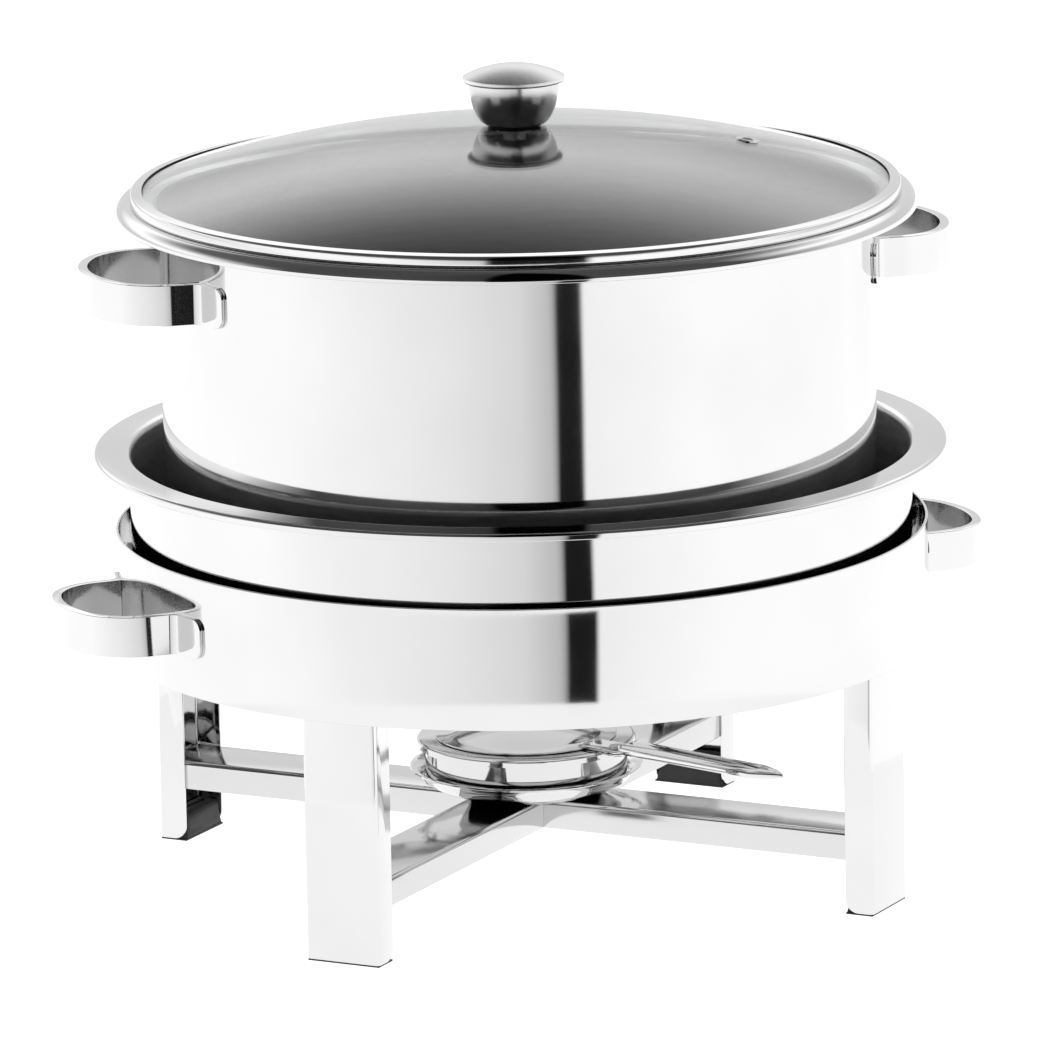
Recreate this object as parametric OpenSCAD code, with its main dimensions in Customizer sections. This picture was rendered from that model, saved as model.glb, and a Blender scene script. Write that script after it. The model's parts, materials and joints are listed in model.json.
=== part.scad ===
// Soup kettle: a pot that stands in a water pan, on a ring with four legs, over a burner.
// Origin on the table, under the middle of the ring. +X runs through the stand's handles.

/* [Pot] */
// Outer diameter of the pot's wall
pot_d = 320; // [312:1:324]
// Height of the pot, from under its base to the top of its rim
pot_h = 177.5; // [150:0.5:220]
// Outer diameter of the pot's rim
pot_rim_d = 358.6; // [354:0.2:366]
// Thickness of the sheet of the pot and of the pan
sheet_t = 0.8; // [0.6:0.1:1.2]
// Thickness of the disc under the pot
base_t = 4; // [3:0.5:6]
// How far the pot and its lid are turned on the stand, in degrees
pot_turn = -4; // [-20:1:20]

/* [Water pan] */
// Outer diameter of the pan's wall
pan_d = 351.4; // [348:0.2:354]
// Height of the pan
pan_h = 65.5; // [55:0.5:75]
// Outer diameter of the pan's flange
pan_rim_d = 383; // [376:1:394]
// Height of the pan's underside above the table
pan_z = 133; // [125:1:145]

/* [Lid] */
// Outer diameter of the lid's band
lid_d = 344.8; // [342:0.2:350]
// Thickness of the glass
glass_t = 3.2; // [3:0.2:4]
// Rise of the glass from its edge to its top
dome_rise = 30.6; // [24:0.2:40]
// Height of the lid's band
band_h = 5; // [5:0.1:6]
// Distance of the vent from the lid's middle
vent_r = 104; // [80:1:130]
// Direction of the vent, in degrees
vent_turn = -15; // [-60:1:60]

/* [Knob] */
// Diameter of the knob's cap
knob_cap_d = 45.8; // [44:0.2:50]
// Rise of the cap's dome
knob_cap_rise = 5.6; // [4:0.2:8]
// Diameter of the top of the knob's cup
knob_cup_d = 40.4; // [38:0.2:42]
// Diameter of the foot of the knob's cup
knob_foot_d = 27; // [26:0.5:30]
// Height of the knob's cup
knob_cup_h = 19; // [16:1:24]

/* [Stand] */
// Outer diameter of the stand's ring
ring_d = 365; // [362:1:372]
// Height of the ring
ring_h = 54; // [48:1:60]
// Height of the ring's lower edge above the table
ring_z = 109; // [100:1:115]
// Thickness of the sheet of the ring, legs and bars
plate_t = 1.2; // [1:0.1:1.5]
// Width of a leg
leg_w = 36; // [30:1:42]
// Depth of a leg
leg_depth = 13.5; // [11:0.5:16]
// Height of the crossbars' top above the table
bar_top = 37.5; // [32:0.5:45]
// Depth of a crossbar
bar_h = 13; // [10:1:16]
// Height of the plug inside a leg
plug_h = 12; // [8:1:16]

/* [Handles] */
// Height of the bar that the handles are bent from
strip_h = 18; // [16:0.5:22]
// Thickness of that bar
strip_t = 4.2; // [3.6:0.2:5]
// How far the stand's handles reach out from the ring
ring_handle_out = 38; // [34:1:40]
// Half width of the loop of the stand's handles
ring_handle_w = 39; // [36:1:44]
// How far the pot's handles reach out from its wall
pot_handle_out = 39; // [34:1:42]
// Half width of the loop of the pot's handles
pot_handle_w = 45; // [42:1:50]
// Height of the middle of the pot's handles below its rim
pot_handle_drop = 31.5; // [26:0.5:60]

/* [Burner] */
// Outer diameter of the burner's cup
burner_d = 91.4; // [88:0.2:92]
// Outer diameter of the burner's flange
burner_rim_d = 99; // [98:1:101]
// Height of the top of the burner's flange above the table
burner_top = 62.5; // [60:0.5:66]
// Diameter of the opening in the flange
burner_mouth_d = 72; // [60:1:76]
// Diameter of the cover
cover_d = 82; // [78:1:90]
// Rise of the cover's dome
cover_rise = 6; // [4:0.5:7]
// Outer diameter of the dish under the burner
dish_d = 105.4; // [104:0.2:110]
// Height of the dish
dish_h = 12; // [11:0.5:13]
// Distance of the cover's pivot from the burner's middle
pivot_r = 54.5; // [54:0.5:56]
// Direction of the cover's handle, in degrees
cover_turn = -59; // [-70:1:-50]
// Distance of the handle's tip from the burner's middle
cover_tip_r = 150; // [140:1:152]

/* [Hidden] */
$fn = 128;

steel = "gainsboro";
dark_steel = "darkgray";
black = [0.08, 0.08, 0.09];

// Pot and pan
pot_r = pot_d / 2;
pot_z = pan_z + sheet_t;
rim_z = pot_z + pot_h;
pot_corner = 12;
pot_neck = 3.5;
pot_edge = 5;
pot_lip = 6;
pan_r = pan_d / 2;
pan_neck = 2.3;
pan_edge = 1.5;
pan_lip = 3.6;
base_r = pot_r - pot_corner - 6;

// Lid
lid_r = lid_d / 2;
band_t = 0.5;
band_round = 1.2;
band_in = 0.3;
band_lean = atan(band_in / (band_h - 2 * band_round));
band_lip_turn = 84;
band_steps = 8;
band_foot_r = lid_r - 8;
band_lip_up = 0.5;
seal_t = 0.2;
glass_edge_r = lid_r - 3.8;
band_lip_r = lid_r - 5.4;
glass_z = rim_z + band_t + seal_t;
dome_r = (pow(glass_edge_r, 2) + pow(dome_rise, 2) - pow(glass_t, 2)) / (2 * (dome_rise - glass_t));
dome_z = glass_z + dome_rise - dome_r;
dome_top = dome_z + dome_r;
screw_r = 2.5;
glass_hole_r = 3.5;
vent_hole_r = 3.2;
vent_flange_r = 5.2;
vent_tube_t = 0.5;
vent_plate_t = 0.6;
vent_tilt = asin(vent_r / dome_r);

// Knob
gasket_t = 0.7;
gasket_r = 12;
knob_z = dome_top + gasket_t;
knob_wall = 1;
cap_z = knob_z + knob_cup_h;
cap_r = knob_cap_d / 2;
cap_edge_h = 2.2;
cap_sphere_r = (pow(cap_r, 2) + pow(knob_cap_rise, 2)) / (2 * knob_cap_rise);
pad_t = 1;
pad_r = 9;
skin = 0.02;
washer_t = 1.2;
head_h = 3;
head_r = 5;
knob_washer_r = 8;
screw_in = 10;
under_glass_z = dome_top - glass_t;

// Stand
ring_r = ring_d / 2;
ring_in_r = ring_r - plate_t;
leg_turns = [-45, 45, 135, 225];
leg_r = sqrt(pow(ring_in_r, 2) - pow(leg_w / 2, 2));
leg_bend = 2;
sole_t = 0.8;
plug_gap = 0.2;
rest_t = 1.2;
rest_in_r = 150;
rest_drop = 15;
bar_w = leg_w - 2 * plate_t;
bar_end = leg_r - leg_bend;
stud_r = 2.5;
stud_l = 8.5;
nut_af = 8;
nut_h = 4;
dish_t = 0.8;
dish_washer_r = 6;
dish_base_r = 30;
dish_knee_r = 46.5;
dish_knee_h = 5.5;

// Handles
strip_bend = 4;
front_bow = 60;
loop_corner = 28;
tab_t = 1.6;
ring_handle_turn = 3.4;
tab_past_bend = 15;
tab_corner = 5;
ring_handle_z = ring_z + ring_h / 2;
pot_handle_z = rim_z - pot_handle_drop;

// Burner
cup_t = 0.8;
cup_r = burner_d / 2;
cup_z = bar_top + dish_t;
cup_base_r = 27;
cup_knee_r = cup_r - 2.5;
cup_knee_h = 5.4;
cup_wall_h = 8.5;
flange_r = burner_rim_d / 2;
flange_lip = 3.5;
mouth_r = burner_mouth_d / 2;
wick_top = cup_z + 16;
mesh_t = 0.8;
cover_r = cover_d / 2;
cover_t = 0.8;
cover_z = burner_top + 0.3;
cover_flat = 5;
cover_dome_r = cover_r - cover_flat;
cover_sphere_r = (pow(cover_dome_r, 2) + pow(cover_rise, 2)) / (2 * cover_rise);
ear_r = 6;
pin_r = 2.5;
pin_gap = 0.05;
handle_w = 14;
handle_t = 1;
handle_depth = 4;
handle_lift = 3;
handle_tip_l = 14;
handle_z = cover_z + cover_t;
rivet_r = 1.6;
rivet_h = 0.8;
rivet_in = 1.5;
rivet_side = 4;
pivot_head_r = 4;
pivot_head_h = 1.2;

// One quarter of a bent edge, in the quadrant that sx and sy point to.
module bend_2d(r, t, sx, sy) {
    intersection() {
        difference() {
            circle(r);
            circle(r - t);
        }
        corner_x = sx > 0 ? 0 : -r;
        corner_y = sy > 0 ? 0 : -r;
        translate([corner_x, corner_y]) square(r);
    }
}

// A round vessel drawn from one sheet, with a rounded corner and a flange with a turned-down lip.
module drawn_vessel(r, h, corner, neck, rim_r, edge, lip, t) {
    rotate_extrude() {
        square([r - corner, t]);
        translate([r - corner, corner]) bend_2d(corner, t, 1, -1);
        translate([r - t, corner]) square([t, h - t - neck - corner]);
        translate([r + neck, h - t - neck]) bend_2d(neck + t, t, -1, 1);
        translate([r + neck, h - t]) square([rim_r - edge - r - neck, t]);
        translate([rim_r - edge, h - edge]) bend_2d(edge, t, 1, 1);
        translate([rim_r - t, h - lip]) square([t, lip - edge]);
    }
}

// A channel's outline: its web along Y at x = 0, its flanges towards +X.
module channel_2d(w, depth, t, bend) {
    module outline(w, depth, bend) {
        translate([bend, -w / 2]) square([depth - bend, w]);
        translate([0, bend - w / 2]) square([depth, w - 2 * bend]);
        for (side = [-1, 1]) translate([bend, side * (w / 2 - bend)]) circle(bend, $fn = 32);
    }
    difference() {
        outline(w, depth, bend);
        translate([t, 0]) outline(w - 2 * t, depth, bend - t);
    }
}

// Points along an arc around c, in steps.
function arc(c, r, from, to, steps) =
    [for (i = [0:steps]) let (a = from + (to - from) * i / steps) c + r * [cos(a), sin(a)]];
function mirrored(points) = [for (p = points) [p[0], -p[1]]];
function reversed(points) = [for (i = [len(points) - 1:-1:0]) points[i]];
function sliced(points, from) = [for (i = [from:len(points) - 1]) points[i]];

// A bar bent into a flat loop, with a thin tab at each end that lies against a round wall.
module loop_handle(wall_r, out, half_w) {
    swing = asin((half_w - loop_corner) / (front_bow - loop_corner));
    front_c = [wall_r + out - front_bow, 0];
    corner_c = front_c + (front_bow - loop_corner) * [cos(swing), sin(swing)];
    bend_v = half_w + strip_bend;
    bend_c = [sqrt(pow(wall_r + tab_t + strip_bend, 2) - pow(bend_v, 2)), bend_v];
    bend_angle = atan2(bend_c[1], bend_c[0]);
    tab_end = bend_angle + tab_past_bend / wall_r * 180 / PI;
    inner_end = asin((half_w - strip_t) / wall_r);
    // One face of the loop, from the middle of its front to its side.
    function face(depth) = concat(
        arc(front_c, front_bow - depth, 0, swing, 8), arc(corner_c, loop_corner - depth, swing, 90, 12)
    );
    outer = concat(
        face(0), arc(bend_c, strip_bend, 270, 180 + bend_angle, 8),
        arc([0, 0], wall_r + tab_t + skin, bend_angle, tab_end, 4)
    );
    inner = concat(face(strip_t), arc([0, 0], wall_r + skin, inner_end, tab_end, 6));
    difference() {
        translate([0, 0, -strip_h / 2]) linear_extrude(strip_h)
            polygon(concat(
                reversed(mirrored(outer)), sliced(outer, 1), reversed(inner), sliced(mirrored(inner), 1)
            ));
        for (side = [0, 1]) mirror([0, side, 0]) rotate([0, 0, tab_end])
            translate([0, 0, -strip_h / 2]) tab_corners(wall_r);
    }
}

// What is cut off a tab to round its two outer corners.
module tab_corners(wall_r) {
    for (end = [0, 1]) translate([wall_r - 2, 0, end * strip_h]) mirror([0, 0, end]) difference() {
        translate([0, -tab_corner, -1]) cube([8, tab_corner + 3, tab_corner + 1]);
        translate([-1, -tab_corner, tab_corner]) rotate([0, 90, 0]) cylinder(r = tab_corner, h = 10);
    }
}

module spherical_shell(r, t, in_r, out_r) {
    rotate_extrude() intersection() {
        difference() {
            circle(r, $fn = 720);
            circle(r - t, $fn = 720);
        }
        translate([in_r, r / 2]) square([out_r - in_r, r]);
    }
}

module tube(r_out, r_in, h) {
    difference() {
        cylinder(r = r_out, h = h);
        translate([0, 0, -1]) cylinder(r = r_in, h = h + 2);
    }
}

// Stand
module stand_ring() {
    color(steel) translate([0, 0, ring_z]) tube(ring_r, ring_in_r, ring_h);
}

module leg(turn) {
    color(steel) rotate([0, 0, turn]) translate([leg_r, 0, sole_t]) mirror([1, 0, 0])
        linear_extrude(pan_z - rest_t - sole_t) channel_2d(leg_w, leg_depth, plate_t, leg_bend);
}

// A plastic plug in the foot of a leg, with a sole under the leg's edges and a hollow top.
module foot(turn) {
    plug_w = leg_w - 2 * plate_t - 2 * plug_gap;
    plug_d = leg_depth - leg_bend;
    round_r = 4;
    color(black) rotate([0, 0, turn]) translate([leg_r, 0, 0]) mirror([1, 0, 0]) {
        translate([0.5, 0.5 - leg_w / 2, 0]) cube([leg_depth - 1, leg_w - 1, sole_t]);
        difference() {
            union() {
                translate([leg_bend, -plug_w / 2, sole_t]) cube([plug_d - round_r, plug_w, plug_h - sole_t]);
                translate([leg_bend, round_r - plug_w / 2, sole_t])
                    cube([plug_d, plug_w - 2 * round_r, plug_h - sole_t]);
                for (side = [-1, 1])
                    translate([leg_depth - round_r, side * (plug_w / 2 - round_r), sole_t])
                        cylinder(r = round_r, h = plug_h - sole_t, $fn = 48);
            }
            translate([leg_bend + 2, 3 - plug_w / 2, plug_h - 6]) cube([plug_d - 5, plug_w - 6, 7]);
        }
    }
}

// A bent lug on top of a leg, which the pan stands on.
module pan_rest(turn) {
    lug_w = leg_w - 2 * plate_t - 2;
    face = leg_r - plate_t;
    color(steel) rotate([0, 0, turn]) {
        translate([rest_in_r, -leg_w / 2, pan_z - rest_t]) cube([face - rest_in_r, leg_w, rest_t - skin]);
        translate([face - rest_t, -lug_w / 2, pan_z - rest_drop]) cube([rest_t, lug_w, rest_drop - rest_t]);
    }
}

// The spot welds between the flat web of each leg and the round inside of the ring.
module leg_welds() {
    spot_r = 2.5;
    weld_up = 12;
    weld_step = 5;
    color(dark_steel) for (turn = leg_turns, side = [-1, 1])
        rotate([0, 0, turn]) translate([leg_r, 0, ring_z + weld_up + side * weld_step]) rotate([0, 90, 0])
            cylinder(r = spot_r, h = ring_in_r - leg_r - skin, $fn = 32);
}

module bar(from, to) {
    translate([from, 0, bar_top]) rotate([0, 90, 0])
        linear_extrude(to - from) channel_2d(bar_w, bar_h, plate_t, leg_bend);
}

module crossbar() {
    color(steel) difference() {
        rotate([0, 0, leg_turns[0]]) bar(-bar_end, bar_end);
        translate([0, 0, bar_top - bar_h]) cylinder(r = stud_r + plug_gap, h = 2 * bar_h);
    }
}

module half_bar(turn) {
    color(steel) rotate([0, 0, turn]) bar(bar_w / 2, bar_end);
}

module ring_handle(turn) {
    color(steel) rotate([0, 0, turn]) translate([0, 0, ring_handle_z])
        loop_handle(ring_r, ring_handle_out, ring_handle_w);
}

module burner_dish() {
    rim_r = dish_d / 2;
    color(steel) translate([0, 0, bar_top]) {
        rotate_extrude() polygon([
            [0, 0], [dish_base_r, 0], [dish_knee_r, dish_knee_h], [rim_r - 3, dish_h - 1.6],
            [rim_r, dish_h - dish_t], [rim_r, dish_h], [rim_r - 3.6, dish_h - 0.8],
            [dish_knee_r - 0.5, dish_knee_h + dish_t], [dish_base_r - 0.2, dish_t], [0, dish_t]
        ]);
        translate([0, 0, -stud_l]) cylinder(r = stud_r, h = stud_l);
    }
}

module dish_washer() {
    color(dark_steel) translate([0, 0, bar_top - plate_t - washer_t]) tube(dish_washer_r, stud_r, washer_t);
}

module dish_nut() {
    color(dark_steel) translate([0, 0, bar_top - plate_t - washer_t - nut_h]) difference() {
        cylinder(d = nut_af / cos(30), h = nut_h, $fn = 6);
        translate([0, 0, -1]) cylinder(r = stud_r, h = nut_h + 2);
    }
}

// Pan and pot
module water_pan() {
    color(steel) translate([0, 0, pan_z])
        drawn_vessel(pan_r, pan_h, pot_corner, pan_neck, pan_rim_d / 2, pan_edge, pan_lip, sheet_t);
}

module pot() {
    color(steel) translate([0, 0, pot_z + base_t])
        drawn_vessel(pot_r, pot_h - base_t, pot_corner, pot_neck, pot_rim_d / 2, pot_edge, pot_lip, sheet_t);
}

module pot_base() {
    edge = 1.5;
    color(steel) translate([0, 0, pot_z]) rotate_extrude() {
        square([base_r - edge, base_t]);
        translate([0, edge]) square([base_r, base_t - edge]);
        translate([base_r - edge, edge]) circle(edge, $fn = 32);
    }
}

module pot_handle(turn) {
    color(steel) rotate([0, 0, turn]) translate([0, 0, pot_handle_z])
        loop_handle(pot_r, pot_handle_out, pot_handle_w);
}

// Lid
module vent_place() {
    rotate([0, 0, vent_turn]) translate([0, 0, dome_z]) rotate([0, vent_tilt, 0]) translate([0, 0, dome_r])
        children();
}

module glass_dome() {
    translate([0, 0, dome_z]) spherical_shell(dome_r, glass_t, 0, glass_edge_r);
}

module lid_glass() {
    color([0.75, 0.82, 0.85, 0.4]) difference() {
        glass_dome();
        translate([0, 0, dome_top - 10]) cylinder(r = glass_hole_r, h = 20);
        vent_place() translate([0, 0, -10]) cylinder(r = vent_hole_r, h = 20);
    }
}

// The band's face from its bottom to its lip, and the same line further in by inset. It leans inwards.
function band_side(inset) = concat(
    arc([lid_r - band_round, rim_z + band_round], band_round - inset, -90, band_lean, band_steps),
    arc([lid_r - band_round - band_in, rim_z + band_h - band_round], band_round - inset,
        band_lean, band_lip_turn, band_steps),
    [[band_lip_r, rim_z + band_h + band_lip_up - inset]]
);

module lid_band() {
    color(steel) rotate_extrude() polygon(concat(
        [[band_foot_r, rim_z]], band_side(0), reversed(band_side(band_t)), [[band_foot_r, rim_z + band_t]]
    ));
}

// The soft ring between the band and the glass's edge.
module lid_seal() {
    color(black) rotate_extrude() polygon(concat(
        [[band_lip_r, rim_z + band_t + skin]], band_side(band_t + skin),
        [
            [band_lip_r, glass_height(band_lip_r) + skin],
            [glass_edge_r + skin, glass_height(glass_edge_r) + skin],
            [glass_edge_r + skin, glass_height(glass_edge_r, 1) - skin],
            [band_lip_r, glass_height(band_lip_r, 1) - skin]
        ]
    ));
}

module vent_eyelet() {
    depth = glass_t + 0.03;
    vent_in_r = vent_hole_r - vent_tube_t;
    color(steel) vent_place() {
        tube(vent_flange_r, vent_in_r, vent_plate_t);
        translate([0, 0, -depth - vent_plate_t]) tube(vent_flange_r, vent_in_r, vent_plate_t);
        translate([0, 0, -depth]) tube(vent_hole_r - skin, vent_in_r, depth);
    }
}

// Knob
// Height of a sphere in the glass at a distance from the middle: the outer face, or the inner one.
function glass_height(r, inner = 0) = dome_z + sqrt(pow(dome_r - inner * glass_t, 2) - pow(r, 2));

module knob_gasket() {
    color(black) rotate_extrude() polygon([
        [glass_hole_r, glass_height(glass_hole_r) + skin], [gasket_r, glass_height(gasket_r) + skin],
        [gasket_r, knob_z], [glass_hole_r, knob_z]
    ]);
}

// The cup's outside radius at a height above its foot, from 0 to 1.
function cup_side(f) = knob_foot_d / 2 + (knob_cup_d - knob_foot_d) / 2 * sin(90 * pow(f, 0.68));

module knob_cup() {
    steps = 24;
    color(steel) translate([0, 0, knob_z]) rotate_extrude() polygon(concat(
        [[screw_r + 0.2, 0]],
        [for (i = [0:steps]) [cup_side(i / steps), knob_cup_h * i / steps]],
        [for (i = [steps:-1:2]) [cup_side(i / steps) - knob_wall, knob_cup_h * i / steps]],
        [[knob_foot_d / 2 - knob_wall, knob_wall], [screw_r + 0.2, knob_wall]]
    ));
}

module knob_core() {
    color(black) translate([0, 0, knob_z + knob_wall]) difference() {
        cylinder(r = knob_foot_d / 2 - 1, h = knob_cup_h - knob_wall);
        translate([0, 0, -1]) cylinder(r = screw_r, h = screw_in + 3);
    }
}

module knob_cap() {
    edge = 0.9;
    color(steel) translate([0, 0, cap_z]) {
        rotate_extrude() {
            square([cap_r - edge, cap_edge_h]);
            translate([0, edge]) square([cap_r, cap_edge_h - edge]);
            translate([cap_r - edge, edge]) circle(edge, $fn = 32);
        }
        intersection() {
            translate([0, 0, cap_edge_h + knob_cap_rise - cap_sphere_r]) sphere(cap_sphere_r);
            translate([0, 0, cap_edge_h]) cylinder(r = cap_r + 1, h = knob_cap_rise + 1);
        }
    }
}

module knob_pad() {
    bottom = under_glass_z - pad_t;
    color(black) rotate_extrude() polygon([
        [glass_hole_r, bottom], [pad_r, bottom],
        [pad_r, glass_height(pad_r, 1)], [glass_hole_r, glass_height(glass_hole_r, 1)]
    ]);
}

module knob_washer() {
    color(dark_steel) translate([0, 0, under_glass_z - pad_t - washer_t]) tube(knob_washer_r, screw_r, washer_t);
}

module knob_screw() {
    head_z = under_glass_z - pad_t - washer_t;
    slot_l = 6;
    slot_w = 1;
    slot_depth = 1.6;
    color(dark_steel) difference() {
        union() {
            translate([0, 0, head_z - head_h]) cylinder(r = head_r, h = head_h);
            translate([0, 0, head_z]) cylinder(r = screw_r, h = knob_z + knob_wall + screw_in - head_z);
        }
        for (turn = [0, 90]) rotate([0, 0, turn])
            translate([-slot_l / 2, -slot_w / 2, head_z - head_h - 1]) cube([slot_l, slot_w, slot_depth + 1]);
    }
}

// Burner
module pivot_place() {
    rotate([0, 0, cover_turn]) translate([pivot_r, 0, 0]) children();
}

// A flat ear from a disc's edge out to the pivot, with a hole for the pin.
module ear(from, z, t, hole) {
    difference() {
        rotate([0, 0, cover_turn]) translate([0, 0, z]) {
            translate([from, -ear_r, 0]) cube([pivot_r - from, 2 * ear_r, t]);
            translate([pivot_r, 0, 0]) cylinder(r = ear_r, h = t);
        }
        pivot_place() translate([0, 0, z - 1]) cylinder(r = hole, h = t + 2);
    }
}

module burner_cup() {
    top = burner_top - cup_t - cup_z;
    color(steel) translate([0, 0, cup_z]) rotate_extrude() polygon([
        [0, 0], [cup_base_r, 0], [cup_knee_r, cup_knee_h], [cup_r, cup_wall_h], [cup_r, top],
        [cup_r - cup_t, top], [cup_r - cup_t, cup_wall_h + 0.3], [cup_knee_r - 0.6, cup_knee_h + 0.7],
        [cup_base_r - 0.2, cup_t], [0, cup_t]
    ]);
}

module burner_flange() {
    edge = 1.5;
    color(steel) {
        rotate_extrude() translate([0, burner_top]) {
            translate([mouth_r, -cup_t]) square([flange_r - edge - mouth_r, cup_t]);
            translate([flange_r - edge, -edge]) bend_2d(edge, cup_t, 1, 1);
            translate([flange_r - cup_t, -flange_lip]) square([cup_t, flange_lip - edge]);
        }
        ear(flange_r - 4, burner_top - cup_t, cup_t, pin_r);
    }
}

module burner_wick() {
    wick_r = cup_r - cup_t - 0.1;
    color("ivory") translate([0, 0, cup_z]) rotate_extrude() polygon([
        [0, cup_t + skin], [cup_base_r - 0.6, cup_t + skin], [cup_knee_r - 1.2, cup_knee_h + 0.8],
        [wick_r, cup_wall_h + 0.8], [wick_r, wick_top - cup_z], [0, wick_top - cup_z]
    ]);
}

// A perforated plate that holds the wick down.
module burner_mesh() {
    hole_r = 2.1;
    rows = 5;
    pitch = 6.6;
    color(dark_steel) translate([0, 0, wick_top]) difference() {
        cylinder(r = cup_r - cup_t, h = mesh_t);
        for (row = [1:rows], i = [0:6 * row - 1])
            rotate([0, 0, i * 60 / row]) translate([row * pitch, 0, -1])
                cylinder(r = hole_r, h = mesh_t + 2, $fn = 24);
    }
}

module burner_cover() {
    color(steel) {
        translate([0, 0, cover_z]) tube(cover_r, cover_dome_r - 1, cover_t);
        translate([0, 0, cover_z + cover_rise + cover_t - cover_sphere_r]) intersection() {
            difference() {
                sphere(cover_sphere_r, $fn = 360);
                sphere(cover_sphere_r - cover_t, $fn = 360);
            }
            cylinder(r = cover_dome_r, h = cover_sphere_r * 2);
        }
        ear(cover_r - 4, cover_z, cover_t, pin_r + pin_gap);
    }
}

// A channel with its edges turned down, bent up behind the pivot and pointed at its tip.
module cover_handle() {
    start = cover_r - 4;
    neck = pivot_r + ear_r + 1;
    straight = cover_tip_r - handle_tip_l;
    high = handle_z + handle_lift;
    blunt_l = 4;
    color(steel) difference() {
        rotate([0, 0, cover_turn]) {
            translate([start, -handle_w / 2, handle_z]) cube([neck - start, handle_w, handle_t]);
            translate([neck - handle_t, -handle_w / 2, handle_z])
                cube([handle_t, handle_w, handle_lift + handle_t]);
            translate([neck - handle_t, -handle_w / 2, high]) cube([straight - neck + handle_t, handle_w, handle_t]);
            for (side = [-1, 1])
                translate([neck, side * (handle_w - handle_t) / 2 - handle_t / 2, high + handle_t - handle_depth])
                    cube([straight - neck, handle_t, handle_depth]);
            translate([straight, 0, high + handle_t - handle_depth])
                linear_extrude(handle_depth) polygon([
                    [0, -handle_w / 2], [handle_tip_l - blunt_l, -blunt_l / 2], [handle_tip_l, 0],
                    [handle_tip_l - blunt_l, blunt_l / 2], [0, handle_w / 2]
                ]);
        }
        pivot_place() translate([0, 0, handle_z - 1]) cylinder(r = pin_r + pin_gap, h = handle_t + 2);
    }
}

// Two rivets between the cover's ear and its handle.
module cover_rivets() {
    color(dark_steel) rotate([0, 0, cover_turn]) for (side = [-1, 1])
        translate([cover_r - rivet_in, side * rivet_side, handle_z + handle_t])
            cylinder(r = rivet_r, h = rivet_h, $fn = 32);
}

// The pin that the cover swings on, with a head above and below.
module cover_pivot() {
    low = burner_top - cup_t;
    high = handle_z + handle_t + pin_gap;
    color(dark_steel) pivot_place() {
        translate([0, 0, low - pivot_head_h]) cylinder(r = pivot_head_r, h = pivot_head_h);
        translate([0, 0, low]) cylinder(r = pin_r, h = high - low);
        translate([0, 0, high]) cylinder(r = pivot_head_r, h = pivot_head_h);
    }
}

stand_ring();
leg(leg_turns[0]);  // leg_front_right
leg(leg_turns[1]);  // leg_back_right
leg(leg_turns[2]);  // leg_back_left
leg(leg_turns[3]);  // leg_front_left
foot(leg_turns[0]);  // foot_front_right
foot(leg_turns[1]);  // foot_back_right
foot(leg_turns[2]);  // foot_back_left
foot(leg_turns[3]);  // foot_front_left
pan_rest(leg_turns[0]);  // pan_rest_front_right
pan_rest(leg_turns[1]);  // pan_rest_back_right
pan_rest(leg_turns[2]);  // pan_rest_back_left
pan_rest(leg_turns[3]);  // pan_rest_front_left
leg_welds();
crossbar();
half_bar(leg_turns[1]);  // half_bar_back
half_bar(leg_turns[3]);  // half_bar_front
ring_handle(ring_handle_turn);  // ring_handle_right
ring_handle(ring_handle_turn + 180);  // ring_handle_left
burner_dish();
dish_washer();
dish_nut();
water_pan();
pot();
pot_base();
pot_handle(pot_turn);  // pot_handle_right
pot_handle(pot_turn + 180);  // pot_handle_left
lid_glass();
lid_band();
lid_seal();
vent_eyelet();
knob_gasket();
knob_cup();
knob_core();
knob_cap();
knob_pad();
knob_washer();
knob_screw();
burner_cup();
burner_flange();
burner_wick();
burner_mesh();
burner_cover();
cover_handle();
cover_rivets();
cover_pivot();
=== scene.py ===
import json
import math
import bpy
from mathutils import Matrix, Vector


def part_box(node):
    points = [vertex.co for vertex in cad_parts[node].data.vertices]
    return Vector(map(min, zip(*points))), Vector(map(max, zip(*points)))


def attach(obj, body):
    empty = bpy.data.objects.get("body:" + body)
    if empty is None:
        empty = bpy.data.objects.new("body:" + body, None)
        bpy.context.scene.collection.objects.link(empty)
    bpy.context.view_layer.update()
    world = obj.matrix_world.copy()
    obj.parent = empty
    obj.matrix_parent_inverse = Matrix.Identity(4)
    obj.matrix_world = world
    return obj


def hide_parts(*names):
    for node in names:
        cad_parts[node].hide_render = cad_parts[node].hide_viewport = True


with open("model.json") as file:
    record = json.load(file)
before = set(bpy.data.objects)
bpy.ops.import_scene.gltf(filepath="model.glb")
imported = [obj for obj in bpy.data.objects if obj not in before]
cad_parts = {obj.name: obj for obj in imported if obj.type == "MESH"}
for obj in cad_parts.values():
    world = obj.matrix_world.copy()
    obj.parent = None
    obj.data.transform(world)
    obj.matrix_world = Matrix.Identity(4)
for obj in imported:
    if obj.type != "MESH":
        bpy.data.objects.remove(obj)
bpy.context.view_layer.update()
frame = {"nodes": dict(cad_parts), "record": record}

smoothAngle = math.radians(35)
bevelAngle = math.radians(40)
cornerSegments = 6
mergeWithin = 0.000002
nearBy = 0.0001


def arc(center, radius, start, end, steps):
    turns = [math.radians(start + (end - start) * i / steps) for i in range(steps + 1)]
    return [(center[0] + radius * math.cos(t), center[1] + radius * math.sin(t)) for t in turns]


def clearSelection():
    if bpy.context.object and bpy.context.object.mode != "OBJECT":
        bpy.ops.object.mode_set(mode="OBJECT")
    bpy.ops.object.select_all(action="DESELECT")


def pick(piece):
    clearSelection()
    piece.select_set(True)
    bpy.context.view_layer.objects.active = piece


def nameIt(name):
    piece = bpy.context.object
    piece.name = piece.data.name = name
    return piece


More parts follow.
